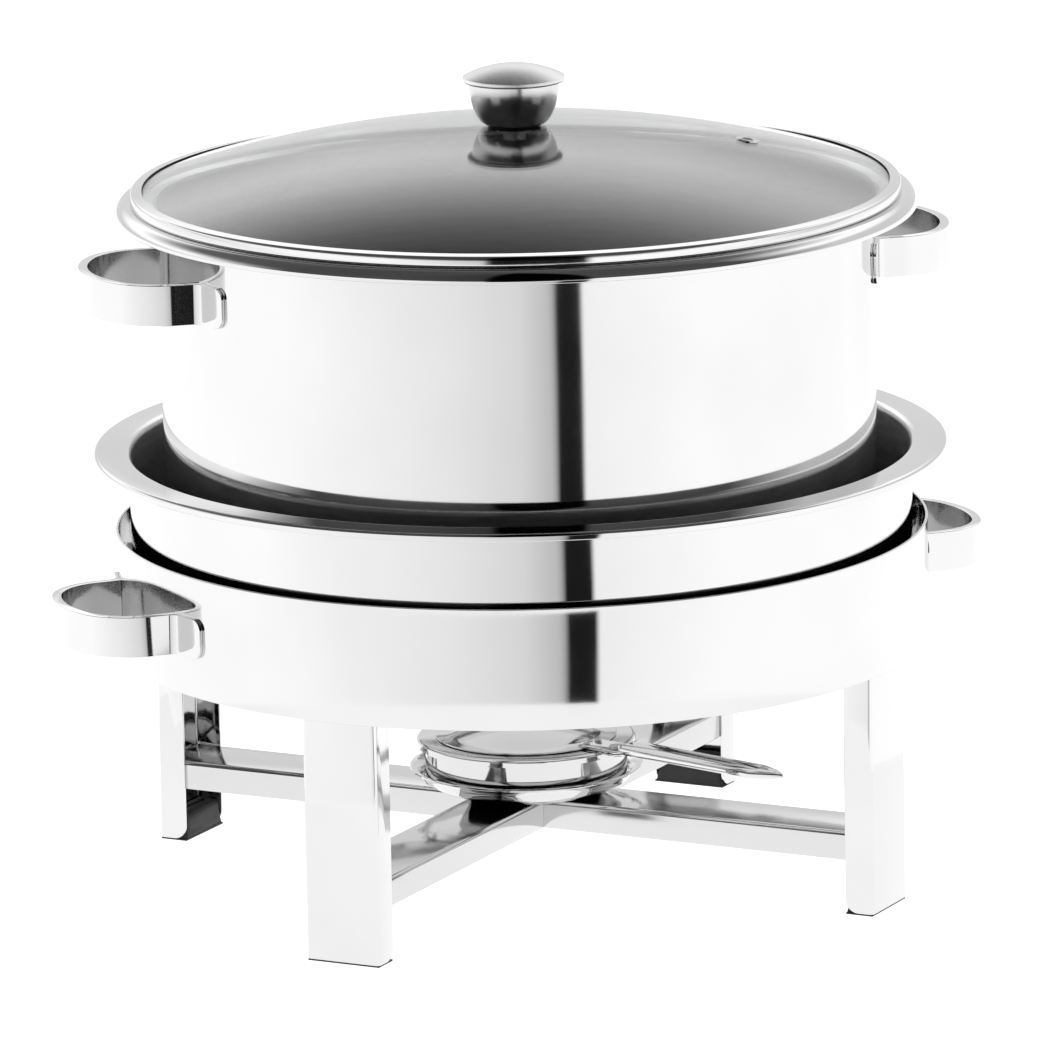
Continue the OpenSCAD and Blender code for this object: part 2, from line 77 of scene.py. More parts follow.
def pull(offset):
    bpy.ops.mesh.extrude_region_move(TRANSFORM_OT_translate={"value": offset})


# Leaves edit mode with every face turned outwards.
def facesOut():
    bpy.ops.mesh.select_all(action="SELECT")
    bpy.ops.mesh.normals_make_consistent(inside=False)
    bpy.ops.object.mode_set(mode="OBJECT")
    return bpy.context.object


# One vertex, pulled out from point to point: the start of every lathed or bent piece.
def drawLine(name, points, close=False):
    clearSelection()
    bpy.ops.mesh.primitive_plane_add(size=0.01, location=(0, 0, 0))
    piece = nameIt(name)
    bpy.ops.object.mode_set(mode="EDIT")
    bpy.ops.mesh.select_mode(type="VERT")
    bpy.ops.mesh.select_all(action="SELECT")
    bpy.ops.mesh.merge(type="CENTER")
    bpy.ops.transform.translate(value=points[0])
    for here, there in zip(points, points[1:]):
        pull(Vector(there) - Vector(here))
    if close:
        bpy.ops.mesh.select_all(action="SELECT")
        openEnds()
        bpy.ops.mesh.edge_face_add()
    bpy.ops.mesh.select_all(action="SELECT")
    return piece


# Leaves only the two ends of the drawn line selected.
def openEnds():
    bpy.ops.object.mode_set(mode="OBJECT")
    mesh = bpy.context.object.data
    uses = [0] * len(mesh.vertices)
    for edge in mesh.edges:
        for v in edge.vertices:
            uses[v] += 1
        edge.select = False
    for v in mesh.vertices:
        v.select = uses[v.index] == 1
    bpy.ops.object.mode_set(mode="EDIT")


def smooth(piece):
    pick(piece)
    bpy.ops.object.shade_smooth_by_angle(angle=smoothAngle)
    return piece


# Moves a picked object's place into its mesh.
def applied(piece):
    bpy.ops.object.transform_apply(location=True, rotation=True, scale=True)
    return piece


# Turns a line of (radius, height) points round the middle. One that starts and ends off the axis is closed.
def lathe(name, line, steps=256, close=False):
    drawLine(name, [(r, 0, z) for r, z in line], close)
    bpy.ops.mesh.spin(steps=steps, angle=2 * math.pi, center=(0, 0, 0), axis=(0, 0, 1))
    bpy.ops.mesh.select_all(action="SELECT")
    bpy.ops.mesh.remove_doubles(threshold=mergeWithin)
    return smooth(facesOut())


# Gives a sheet its thickness, half to each side, and breaks its edges.
def finishSheet(piece, thickness, edge):
    pick(piece)
    solid = piece.modifiers.new("thickness", "SOLIDIFY")
    solid.thickness = thickness
    solid.offset = 0
    bpy.ops.object.modifier_apply(modifier=solid.name)
    bevelEdges(piece, edge)
    return smooth(piece)


def bevelEdges(piece, width, segments=3):
    pick(piece)
    bevel = piece.modifiers.new("edges", "BEVEL")
    bevel.width = width
    bevel.segments = segments
    bevel.limit_method = "ANGLE"
    bevel.angle_limit = bevelAngle
    bpy.ops.object.modifier_apply(modifier=bevel.name)
    return piece


# A band of sheet: a line in the XY plane, pulled up from low to high.
def bentSheet(name, line, low, high):
    drawLine(name, [(x, y, low) for x, y in line])
    pull((0, 0, high - low))
    return facesOut()


# A flat piece: its outline is filled and pulled out to its thickness.
def slab(name, outline, thickness):
    drawLine(name, outline)
    bpy.ops.mesh.edge_face_add()
    pull(thickness)
    return facesOut()


# Rounds the corners of a sheet that lie where isCorner says.
def roundCorners(piece, isCorner, radius):
    pick(piece)
    for v in piece.data.vertices:
        v.select = isCorner(v.co)
    for edge in piece.data.edges:
        edge.select = False
    for face in piece.data.polygons:
        face.select = False
    bpy.ops.object.mode_set(mode="EDIT")
    bpy.ops.mesh.select_mode(type="VERT")
    bpy.ops.mesh.bevel(offset=radius, segments=cornerSegments, affect="VERTICES", profile=0.5)
    bpy.ops.object.mode_set(mode="OBJECT")


def turned(piece, degrees):
    pick(piece)
    piece.rotation_euler.z = math.radians(degrees)
    return applied(piece)


def moved(piece, offset):
    pick(piece)
    piece.location = offset
    return applied(piece)


def copied(piece, name):
    pick(piece)
    bpy.ops.object.duplicate()
    return nameIt(name)


def heights(node):
    low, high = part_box(node)
    return low[2], high[2]


def dress(piece, body, material, slot, *nodes):
    piece.data.materials.clear()
    piece.data.materials.append(material)
    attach(piece, body)
    if nodes:
        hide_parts(*nodes)


# Gives the inside of a vessel its own satin finish. The pot's inside is also far darker than its outside:
# painted shade inside the pot.
def lined(piece, material, v):
    piece.data.materials.append(material)
    floorZ = v["low"] + v["corner"]
    for face in piece.data.polygons:
        inward = face.center.xy.dot(face.normal.xy) < 0 and face.center.xy.length < v["wallR"]
        if inward or (face.normal.z > 0.5 and face.center.z < floorZ):
            face.material_index = 1


print("camera")
view = {"azimuth": -108.05, "elevation": 12.72, "distance": 4.486, "aim": (0.0034, -0.0011, 0.157),
        "roll": 1.06, "lens": 338.6, "sensor": 36, "farthest": 30}


def addCamera(v):
    around = math.radians(v["azimuth"])
    up = math.radians(v["elevation"])
    back = Vector((math.cos(around) * math.cos(up), math.sin(around) * math.cos(up), math.sin(up)))
    bpy.ops.object.camera_add(location=Vector(v["aim"]) + back * v["distance"])
    camera = bpy.context.object
    facing = back.to_track_quat("Z", "Y")
    camera.rotation_euler = (facing.to_matrix() @ rollMatrix(v["roll"])).to_euler()
    camera.data.lens = v["lens"]
    camera.data.sensor_width = v["sensor"]
    camera.data.clip_end = v["farthest"]
    bpy.context.scene.camera = camera


def rollMatrix(degrees):
    return Matrix.Rotation(math.radians(-degrees), 3, "Z")


clearSelection()
addCamera(view)


print("materials")


def newMaterial(name):
    material = bpy.data.materials.new(name)
    material.use_nodes = True
    nodes = material.node_tree.nodes
    return material, nodes, material.node_tree.links, nodes["Principled BSDF"]


def objectCoordinates(nodes, links, scale):
    place = nodes.new("ShaderNodeTexCoord")
    mapping = nodes.new("ShaderNodeMapping")
    mapping.inputs["Scale"].default_value = scale
    links.new(place.outputs["Object"], mapping.inputs["Vector"])
    return mapping.outputs["Vector"]


def noise(nodes, links, vector, scale, detail=2.0, roughness=0.5):
    texture = nodes.new("ShaderNodeTexNoise")
    texture.inputs["Scale"].default_value = scale
    texture.inputs["Detail"].default_value = detail
    texture.inputs["Roughness"].default_value = roughness
    links.new(vector, texture.inputs["Vector"])
    return texture.outputs["Fac"]


# Most of a noise lies between these two values.
noiseLow, noiseHigh = 0.3, 0.7


def ranged(nodes, links, value, low, high):
    span = nodes.new("ShaderNodeMapRange")
    span.inputs["From Min"].default_value = noiseLow
    span.inputs["From Max"].default_value = noiseHigh
    span.inputs["To Min"].default_value = low
    span.inputs["To Max"].default_value = high
    links.new(value, span.inputs["Value"])
    return span.outputs["Result"]


def bumped(nodes, links, height, distance, normal=None):
    bump = nodes.new("ShaderNodeBump")
    bump.inputs["Distance"].default_value = distance
    bump.inputs["Strength"].default_value = 1
    links.new(height, bump.inputs["Height"])
    if normal:
        links.new(normal, bump.inputs["Normal"])
    return bump.outputs["Normal"]


def tinted(nodes, links, value, low, high):
    ramp = nodes.new("ShaderNodeValToRGB")
    ramp.color_ramp.elements[0].position = noiseLow
    ramp.color_ramp.elements[1].position = noiseHigh
    ramp.color_ramp.elements[0].color = low + (1,)
    ramp.color_ramp.elements[1].color = high + (1,)
    links.new(value, ramp.inputs["Fac"])
    return ramp.outputs["Color"]


# Mirror-polished sheet: slightly wavy, with fine polishing lines and a few duller smudges.
def polishedSteel(name, light=0.68, wave=0.00012, waveScale=9, rough=0.035, lines=(90, 90, 900)):
    material, nodes, links, shader = newMaterial(name)
    plain = objectCoordinates(nodes, links, (1, 1, 1))
    streaked = objectCoordinates(nodes, links, lines)
    dull = noise(nodes, links, plain, 14, 3)
    scratches = noise(nodes, links, streaked, 1, 4, 0.7)
    colour = tinted(nodes, links, dull, (light, light, light * 1.005), (light * 1.05,) * 3)
    links.new(colour, shader.inputs["Base Color"])
    links.new(ranged(nodes, links, dull, rough, rough * 2.2), shader.inputs["Roughness"])
    waves = bumped(nodes, links, noise(nodes, links, plain, waveScale, 1), wave)
    links.new(bumped(nodes, links, scratches, 0.0000015, waves), shader.inputs["Normal"])
    shader.inputs["Metallic"].default_value = 1
    return material


# Sheet with a fine grain that lies along the finest of its three scales.
def satinSteel(name, light=0.5, rough=0.3, lines=(500, 500, 60)):
    material, nodes, links, shader = newMaterial(name)
    streaked = objectCoordinates(nodes, links, lines)
    grain = noise(nodes, links, streaked, 1, 5, 0.7)
    colour = tinted(nodes, links, grain, (light * 0.85,) * 3, (light * 1.1,) * 3)
    links.new(colour, shader.inputs["Base Color"])
    links.new(ranged(nodes, links, grain, rough * 0.8, rough * 1.3), shader.inputs["Roughness"])
    links.new(bumped(nodes, links, grain, 0.000008), shader.inputs["Normal"])
    shader.inputs["Metallic"].default_value = 1
    return material


def moulded(name, colour, rough, grainScale=1800, depth=0.00001):
    material, nodes, links, shader = newMaterial(name)
    plain = objectCoordinates(nodes, links, (1, 1, 1))
    grain = noise(nodes, links, plain, grainScale, 3)
    patches = noise(nodes, links, plain, 60, 2)
    darker = tuple(c * 0.75 for c in colour)
    links.new(tinted(nodes, links, patches, darker, colour), shader.inputs["Base Color"])
    links.new(ranged(nodes, links, patches, rough, rough + 0.12), shader.inputs["Roughness"])
    links.new(bumped(nodes, links, grain, depth), shader.inputs["Normal"])
    return material


def clearGlass(name):
    material, nodes, links, shader = newMaterial(name)
    plain = objectCoordinates(nodes, links, (1, 1, 1))
    haze = noise(nodes, links, plain, 25, 3)
    shader.inputs["Base Color"].default_value = (0.965, 0.975, 0.972, 1)
    shader.inputs["Transmission Weight"].default_value = 1
    shader.inputs["IOR"].default_value = 1.5
    links.new(ranged(nodes, links, haze, 0.0, 0.012), shader.inputs["Roughness"])
    links.new(bumped(nodes, links, noise(nodes, links, plain, 5, 1), 0.00006), shader.inputs["Normal"])
    return material


def fibre(name, colour):
    material, nodes, links, shader = newMaterial(name)
    plain = objectCoordinates(nodes, links, (1, 1, 1))
    strands = noise(nodes, links, plain, 900, 6, 0.8)
    darker = tuple(c * 0.7 for c in colour)
    links.new(tinted(nodes, links, strands, darker, colour), shader.inputs["Base Color"])
    links.new(bumped(nodes, links, strands, 0.0004), shader.inputs["Normal"])
    shader.inputs["Roughness"].default_value = 0.95
    return material


potSteel = polishedSteel("potPolishedSteel")
panSteel = polishedSteel("panPolishedSteel", waveScale=7)
standSteel = polishedSteel("standPolishedSteel", waveScale=8, rough=0.045)
stripSteel = polishedSteel("stripPolishedSteel", wave=0.00003, waveScale=40, lines=(300, 300, 2500))
knobSteel = polishedSteel("knobPolishedSteel", light=0.62, wave=0.00001, waveScale=60, rough=0.1,
                          lines=(90, 90, 3000))
burnerSteel = polishedSteel("burnerPolishedSteel", light=0.64, wave=0.00004, waveScale=40, rough=0.05)
barSteel = polishedSteel("barPolishedSteel", light=0.6, wave=0.00005, waveScale=30, rough=0.07)
# The cap's fine grain is its brushed finish; its tone, much lighter than the other steels, is painted light on
# its top.
capBrushedLitSteel = satinSteel("capBrushedPaintedLightSteel", light=0.86, rough=0.36, lines=(2200, 60, 60))
# A darker copy of the handle steel for the loops' inner faces: painted shade inside the loops.
loopInsideShadeSteel = polishedSteel("handleInsidePaintedShadeSteel", light=0.42, wave=0.00003, waveScale=40,
                               rough=0.09)
# The satin grain is the inside's finish; its low tone (0.3 against 0.68 outside) is painted shade inside the
# pot.
potInsideShadeSteel = satinSteel("potInsideSatinPaintedShadeSteel", light=0.3, rough=0.34, lines=(40, 40, 700))
panInsideSteel = satinSteel("panInsideSatinSteel", light=0.6, rough=0.42, lines=(40, 40, 700))
fastenerSteel = satinSteel("fastenerSatinSteel")
meshSteel = satinSteel("meshSatinSteel", light=0.35, rough=0.4)
blackPlastic = moulded("footBlackPlastic", (0.009, 0.009, 0.0095), 0.5)
blackSilicone = moulded("sealBlackSilicone", (0.008, 0.008, 0.0085), 0.5, 900)
lidGlass = clearGlass("lidClearGlass")
wickFibre = fibre("wickFibre", (0.78, 0.74, 0.64))

nodeLooks = {
    "polished_steel": standSteel, "satin_steel": fastenerSteel, "mesh_steel": meshSteel,
    "wick_fibre": wickFibre, "black_plastic": blackPlastic, "black_silicone": blackSilicone,
    "clear_glass": lidGlass,
}
for part in frame["record"]["subparts"]:
    node = frame["nodes"][part["node"]]
    node.data.materials.clear()
    node.data.materials.append(nodeLooks[part["material_slot"]])


print("pot and pan")


# A drawn vessel's outline: up the outside, over the flange's lip, and down the inside.
def vesselLine(v):
    r, low, high, t = v["wallR"], v["low"], v["high"], v["sheet"]
    corner, neck, edge, rim = v["corner"], v["neck"], v["edge"], v["rimR"]
    cornerAt = (r - corner, low + corner)
    neckAt = (r + neck, high - t - neck)
    edgeAt = (rim - edge, high - edge)
    hem = t * 0.45
    return (
        [(0, low)] + [((r - corner) * f, low) for f in (0.25, 0.5, 0.75)]
        + arc(cornerAt, corner, -90, 0, 12)
        + [(r, low + (high - low) * f) for f in (0.35, 0.6)]
        + arc(neckAt, neck, 180, 90, 8) + arc(edgeAt, edge - t, 90, 0, 8)
        + arc((rim - t / 2, high - v["lip"] + hem), hem, 180, 360, 6)
        + arc(edgeAt, edge, 0, 90, 10) + arc(neckAt, neck + t, 90, 180, 10)
        + [(r - t, low + (high - low) * f) for f in (0.6, 0.35)]
        + arc(cornerAt, corner - t, 0, -90, 12)
        + [((r - corner) * f, low + t) for f in (0.75, 0.5, 0.25)] + [(0, low + t)]
    )


potLow, potHigh = heights("pot")
panLow, panHigh = heights("water_pan")
potShape = {"wallR": 0.160, "low": potLow, "high": potHigh, "sheet": 0.0008, "corner": 0.012,
            "neck": 0.0035, "edge": 0.005, "rimR": 0.1793, "lip": 0.006}
panShape = {"wallR": 0.1757, "low": panLow, "high": panHigh, "sheet": 0.0008, "corner": 0.012,
            "neck": 0.0023, "edge": 0.0015, "rimR": 0.1915, "lip": 0.0036}
potShell = lathe("potShell", vesselLine(potShape))
dress(potShell, "pot_body", potSteel, "polished_steel", "pot")
lined(potShell, potInsideShadeSteel, potShape)
panShell = lathe("panShell", vesselLine(panShape))
dress(panShell, "pan_body", panSteel, "polished_steel", "water_pan")
lined(panShell, panInsideSteel, panShape)

baseShape = {"r": 0.142, "edge": 0.0015, "groove": 0.0006, "grooveHalf": 0.0003, "topEdge": 0.0002}


# The disc under the pot, with a fine groove round the middle of its side.
def baseLine(b, low, high):
    r, edge, middle = b["r"], b["edge"], (low + high) / 2
    return ([(0, low), (r * 0.5, low)] + arc((r - edge, low + edge), edge, -90, 0, 6)
            + [(r, middle - b["grooveHalf"]), (r - b["groove"], middle), (r, middle + b["grooveHalf"])]
            + [(r, high - b["topEdge"]), (r - b["topEdge"], high), (0, high)])


potBase = lathe("potBase", baseLine(baseShape, *heights("pot_base")))
dress(potBase, "pot_body", potSteel, "polished_steel", "pot_base")


print("handles")
handleShape = {"height": 0.018, "bar": 0.0042, "tabSheet": 0.0016, "bend": 0.004, "bow": 0.060,
               "corner": 0.028, "tab": 0.015, "tabCorner": 0.005, "tabFlat": 0.0055, "edge": 0.0006,
               "play": 0.00002}


# Half of a loop, from the middle of its front to the end of its tab: the outer face and the inner one.
def loopFaces(h, wallR, out, halfWidth):
    reach = h["bow"] - h["corner"]
    swing = math.degrees(math.asin((halfWidth - h["corner"]) / reach))
    frontAt = (wallR + out - h["bow"], 0)
    cornerAt = arc(frontAt, reach, swing, swing, 1)[0]
    bendY = halfWidth + h["bend"]
    bendAt = (math.sqrt((wallR + h["tabSheet"] + h["bend"]) ** 2 - bendY ** 2), bendY)
    bendTurn = math.degrees(math.atan2(bendAt[1], bendAt[0]))
    tabEnd = bendTurn + math.degrees(h["tab"] / wallR)
    lastBend = tabEnd - math.degrees(h["tabFlat"] / wallR)
    innerEnd = math.degrees(math.asin((halfWidth - h["bar"]) / wallR))

    def face(depth):
        return (arc(frontAt, h["bow"] - depth, 0, swing, 8)
                + arc(cornerAt, h["corner"] - depth, swing, 90, 16)[1:])

    def tab(radius, start, steps):
        return arc((0, 0), radius, start, lastBend, steps) + [arc((0, 0), radius, tabEnd, tabEnd, 1)[0]]

    outer = (face(0) + arc(bendAt, h["bend"], 270, 180 + bendTurn, 10)
             + tab(wallR + h["tabSheet"], bendTurn, 3)[1:])
    return outer, face(h["bar"]) + tab(wallR + h["play"], innerEnd, 6)


# A bar bent into a loop: its outline is filled and pulled up in steps, and the tabs' ends are drawn in
# where their corners round off.
def loopHandle(name, h, wallR, out, halfWidth, middle):
    outer, inner = loopFaces(h, wallR, out, halfWidth)
    outline = ([(x, -y) for x, y in reversed(outer)] + outer[1:]
               + inner[::-1] + [(x, -y) for x, y in inner[1:]])
    low, r = middle - h["height"] / 2, h["tabCorner"]
    rounding = [(r - x, r - y) for x, y in arc((0, 0), r, 0, 90, cornerSegments)]
    levels = [(low + up, drawnIn) for up, drawnIn in rounding]
    levels += [(low + h["height"] - up, drawnIn) for up, drawnIn in reversed(rounding)]
    drawLine(name, [(x, y, low) for x, y in outline])
    bpy.ops.mesh.edge_face_add()
    for (here, _), (there, _) in zip(levels, levels[1:]):
        pull((0, 0, there - here))
    piece = facesOut()
    ends = [Vector((x, side * y)) for x, y in (outer[-1], inner[-1]) for side in (1, -1)]
    for v in piece.data.vertices:
        if min((v.co.xy - end).length for end in ends) < nearBy:
            drawnIn = min(levels, key=lambda level: abs(level[0] - v.co.z))[1]
            v.co.rotate(Matrix.Rotation(math.copysign(drawnIn / wallR, -v.co.y), 3, "Z"))
    bevelEdges(piece, h["edge"])
    return smooth(piece)


# Gives the faces that look into a loop a darker, slightly rougher copy of the steel: painted shade inside the
# loop.
def shadeLoopInside(piece, middle, halfWidth):
    piece.data.materials.append(loopInsideShadeSteel)
    for face in piece.data.polygons:
        inward = (middle - face.center.xy).dot(face.normal.xy) > 0
        if inward and abs(face.center.y) < halfWidth and abs(face.normal.z) < 0.5:
            face.material_index = 1


# Two handles opposite each other on a round wall.
def handlePair(name, body, wallR, out, halfWidth, turn, nodes):
    middle = sum(heights(nodes[0])) / 2
    right = loopHandle(name + "Right", handleShape, wallR, out, halfWidth, middle)
    left = copied(right, name + "Left")
    for piece, node, side in ((right, nodes[0], 0), (left, nodes[1], 180)):
        dress(piece, body, stripSteel, "polished_steel", node)
        shadeLoopInside(piece, Vector((wallR + out / 2, 0)), halfWidth - handleShape["bar"] / 2)
        turned(piece, turn + side)


ringShape = {"r": 0.1825, "sheet": 0.0012, "edge": 0.0004}
handlePair("ringHandle", "stand", wallR=ringShape["r"], out=0.038, halfWidth=0.039, turn=3.4,
           nodes=("ring_handle_right", "ring_handle_left"))
handlePair("potHandle", "pot_body", wallR=potShape["wallR"], out=0.039, halfWidth=0.045, turn=-4,
           nodes=("pot_handle_right", "pot_handle_left"))


print("stand")


def ringLine(s, low, high):
    inner, outer, e = s["r"] - s["sheet"], s["r"], s["edge"]
    return (arc((outer - e, low + e), e, -90, 0, 4) + [(outer, low + (high - low) * 0.5)]
            + arc((outer - e, high - e), e, 0, 90, 4) + arc((inner + e, high - e), e, 90, 180, 4)
            + [(inner, low + (high - low) * 0.5)] + arc((inner + e, low + e), e, 180, 270, 4))


standRing = lathe("standRing", ringLine(ringShape, *heights("stand_ring")), close=True)
dress(standRing, "stand", standSteel, "polished_steel", "stand_ring")

legTurns = {"front_right": -45, "back_right": 45, "back_left": 135, "front_left": 225}
legShape = {"width": 0.036, "depth": 0.0135, "sheet": 0.0012, "bend": 0.002, "edge": 0.0003, "foot": 0.006}
legShape["face"] = math.sqrt((ringShape["r"] - ringShape["sheet"]) ** 2 - (legShape["width"] / 2) ** 2)


# A channel's middle line, open towards -X, with its web's face at x = face.
def channelLine(c):
    half = c["sheet"] / 2
    r = c["bend"] - half
    side = c["width"] / 2 - half
    x = c["face"] - half
    return ([(c["face"] - c["depth"], -side)] + arc((x - r, r - side), r, -90, 0, 6)
            + arc((x - r, side - r), r, 0, 90, 6) + [(c["face"] - c["depth"], side)])


legLow, legHigh = heights("leg_front_right")
leg = bentSheet("leg", channelLine(legShape), legLow, legHigh)
innerX = legShape["face"] - legShape["depth"]
roundCorners(leg, lambda c: c.x < innerX + nearBy and c.z < legLow + nearBy, legShape["foot"])
finishSheet(leg, legShape["sheet"], legShape["edge"])
for place, turn in legTurns.items():
    piece = turned(copied(leg, "leg_" + place + "_sheet"), turn)
    dress(piece, "stand", standSteel, "polished_steel", "leg_" + place)
bpy.data.objects.remove(leg)

barShape = {"width": 0.0336, "depth": 0.013, "sheet": 0.0012, "bend": 0.002, "edge": 0.0003, "face": 0}
barTop = heights("crossbar")[1]


# A bar of the cross: a channel laid down along X with its open side under it, then turned.
def bar(name, start, end, turn):
    piece = bentSheet(name, channelLine(barShape), start, end)
    finishSheet(piece, barShape["sheet"], barShape["edge"])
    pick(piece)
    piece.rotation_euler = (0, math.radians(90), 0)
    applied(piece)
    piece.rotation_euler = (math.radians(180), 0, 0)
    applied(piece)
    moved(piece, (0, 0, barTop))
    return turned(piece, turn)


barEnd = legShape["face"] - legShape["bend"]
barSide = barShape["width"] / 2
for name, start, turn, node in (("longBar", -barEnd, -45, "crossbar"),
                                ("halfBarBack", barSide, 45, "half_bar_back"),
                                ("halfBarFront", barSide, 225, "half_bar_front")):
    dress(bar(name, start, barEnd, turn), "stand", barSteel, "polished_steel", node)


print("feet")
footShape = {"solePlay": 0.0005, "sole": 0.0008, "height": 0.012, "round": 0.004, "wall": 0.003,
             "hollow": 0.006, "gap": 0.0002, "step": 0.0002, "edge": 0.0004}


# Faces of the part in edit mode, chosen by a test on their middle.
def selectFaces(piece, isWanted):
    bpy.ops.object.mode_set(mode="OBJECT")
    for item in (*piece.data.vertices, *piece.data.edges):
        item.select = False
    for face in piece.data.polygons:
        face.select = isWanted(face)
    bpy.ops.object.mode_set(mode="EDIT")
    bpy.ops.mesh.select_mode(type="FACE")


# A plug with a sole: the sole is pulled up, drawn in, pulled up again and hollowed from the top.
def footPlug(name, f, leg):
    soleDeep = leg["depth"] - f["solePlay"]
    soleWide = leg["width"] - 2 * f["solePlay"]
    plugDeep = leg["depth"] - leg["bend"]
    plugWide = leg["width"] - 2 * (leg["sheet"] + f["gap"])
    clearSelection()
    bpy.ops.mesh.primitive_plane_add(size=1, location=(0, 0, 0))
    piece = nameIt(name)
    bpy.ops.object.mode_set(mode="EDIT")
    bpy.ops.transform.resize(value=(soleDeep, soleWide, 1))
    bpy.ops.transform.translate(value=(-soleDeep / 2, 0, 0))
    pull((0, 0, f["sole"]))
    bpy.ops.mesh.inset(thickness=f["step"])
    narrower = (plugDeep / (soleDeep - 2 * f["step"]), plugWide / (soleWide - 2 * f["step"]), 1)
    bpy.ops.transform.resize(value=narrower, center_override=(-soleDeep, 0, f["sole"]))
    pull((0, 0, f["height"] - f["sole"]))
    bpy.ops.object.mode_set(mode="OBJECT")
    rim = f["sole"] + nearBy
    pick(piece)
    for v in piece.data.vertices:
        v.select = False
    for face in piece.data.polygons:
        face.select = False
    for edge in piece.data.edges:
        a, b = (piece.data.vertices[i].co for i in edge.vertices)
        upright = abs(a.z - b.z) > f["height"] / 2
        edge.select = upright and a.x < -soleDeep * 0.6 and min(a.z, b.z) < rim
    bpy.ops.object.mode_set(mode="EDIT")
    bpy.ops.mesh.select_mode(type="EDGE")
    bpy.ops.mesh.bevel(offset=f["round"], segments=cornerSegments)
    selectFaces(piece, lambda face: face.center.z > f["height"] - nearBy)
    bpy.ops.mesh.inset(thickness=f["wall"])
    pull((0, 0, -f["hollow"]))
    facesOut()
    bevelEdges(piece, f["edge"], 2)
    moved(piece, (leg["face"] - f["solePlay"], 0, 0))
    return smooth(piece)


foot = footPlug("foot", footShape, legShape)
for place, turn in legTurns.items():
    piece = turned(copied(foot, "foot_" + place + "_plug"), turn)
    dress(piece, "stand", blackPlastic, "black_plastic", "foot_" + place)
bpy.data.objects.remove(foot)


print("burner")
burnerSteps = 160
burnerShape = {"dishR": 0.0527, "dishH": 0.012, "dishBase": 0.030, "dishKnee": 0.0465, "dishKneeH": 0.0055,
               "sheet": 0.0008, "cupR": 0.0457, "cupBase": 0.027, "cupSlopeR": 0.0402, "cupSlopeH": 0.0044,
               "cupWallH": 0.0085, "cupCorner": 0.004, "flangeR": 0.0495, "mouthR": 0.036,
               "flangeLip": 0.0035, "flangeEdge": 0.0015, "earFrom": 0.0465}


# A shallow dish: a flat middle, a slope up to a knee, and a steeper side with a rolled rim.
def dishLine(b, low):
    r, h, t = b["dishR"], b["dishH"], b["sheet"]
    knee, kneeH, base = b["dishKnee"], b["dishKneeH"], b["dishBase"]
    under = [(base, 0), (base + 0.004, 0.0005), (base + 0.010, 0.0024), (knee - 0.002, 0.0045),
             (knee + 0.0004, kneeH + 0.0003)]
    rim = [(r - 0.0042, h - 0.0036), (r - 0.0028, h - 0.0019), (r - 0.0012, h - 0.0011),
           (r - 0.0002, h - 0.0009), (r, h - 0.0005), (r - 0.0002, h - 0.0001), (r - 0.0014, h),
           (r - 0.0032, h - 0.0008), (r - 0.0050, h - 0.0029)]
    inside = [(knee - 0.0004, kneeH + t), (knee - 0.0028, 0.0045 + t), (base + 0.0095, 0.0024 + t),
              (base + 0.0037, 0.0005 + t), (base - 0.0002, t)]
    return [(0, low)] + [(x, low + z) for x, z in under + rim + inside] + [(0, low + t)]


saucer = lathe("burnerSaucer", dishLine(burnerShape, barTop), burnerSteps)
dress(saucer, "stand", burnerSteel, "polished_steel", "burner_dish")


def cupLine(b, low, high):
    r, t, corner = b["cupR"], b["sheet"], b["cupCorner"]
    cornerAt = (r - corner, low + b["cupWallH"])
    return ([(0, low), (b["cupBase"], low), (b["cupSlopeR"], low + b["cupSlopeH"])]
            + arc(cornerAt, corner, -60, 0, 6) + [(r, high), (r - t, high)]
            + arc(cornerAt, corner - t, 0, -60, 6) + [(b["cupSlopeR"] - t / 2, low + b["cupSlopeH"] + t)]
            + [(b["cupBase"] - t / 4, low + t), (0, low + t)])


cupShell = lathe("burnerCupShell", cupLine(burnerShape, *heights("burner_cup")), burnerSteps)
dress(cupShell, "burner_body", burnerSteel, "polished_steel", "burner_cup")

flangeTop = heights("burner_flange")[1]


# The cup's top plate, from the rounded edge of its mouth out to its lip.
def flangeLine(b, high):
    r, t, e = b["flangeR"], b["sheet"], b["flangeEdge"]
    mouth, low = b["mouthR"], high - b["flangeLip"]
    edgeAt = (r - e, high - e)
    return ([(mouth, high - t), (r - e, high - t)] + arc(edgeAt, e - t, 90, 0, 6)[1:]
            + [(r - t, low), (r, low)] + arc(edgeAt, e, 0, 90, 8)
            + [(mouth, high), (mouth - t / 2, high - t / 2)])


flangeRing = lathe("burnerFlangeRing", flangeLine(burnerShape, flangeTop), burnerSteps, close=True)
dress(flangeRing, "burner_body", burnerSteel, "polished_steel", "burner_flange")

coverShape = {"r": 0.041, "sheet": 0.0008, "flat": 0.005, "rise": 0.006, "edge": 0.0003, "turn": -59,
              "pivotR": 0.0545, "earR": 0.006, "earEdge": 0.00015, "earFrom": 0.037}
coverZ = heights("burner_cover")[0]


def coverLine(c, low):
    r, t, e = c["r"], c["sheet"], c["edge"]
    domeEnd = r - c["flat"]
    sphere = (domeEnd ** 2 + c["rise"] ** 2) / (2 * c["rise"])
    spread = math.degrees(math.asin(domeEnd / sphere))
    top = arc((0, low + t + c["rise"] - sphere), sphere, 90 - spread, 90, 16)
    under = arc((0, low + c["rise"] - sphere), sphere, 90, 90 - spread, 16)
    edge = arc((r - e, low + e), e, -90, 0, 3) + arc((r - e, low + t - e), e, 0, 90, 3)
    return [(domeEnd, low)] + edge + top[:-1] + [(0, top[-1][1]), (0, under[0][1])] + under[1:-1]


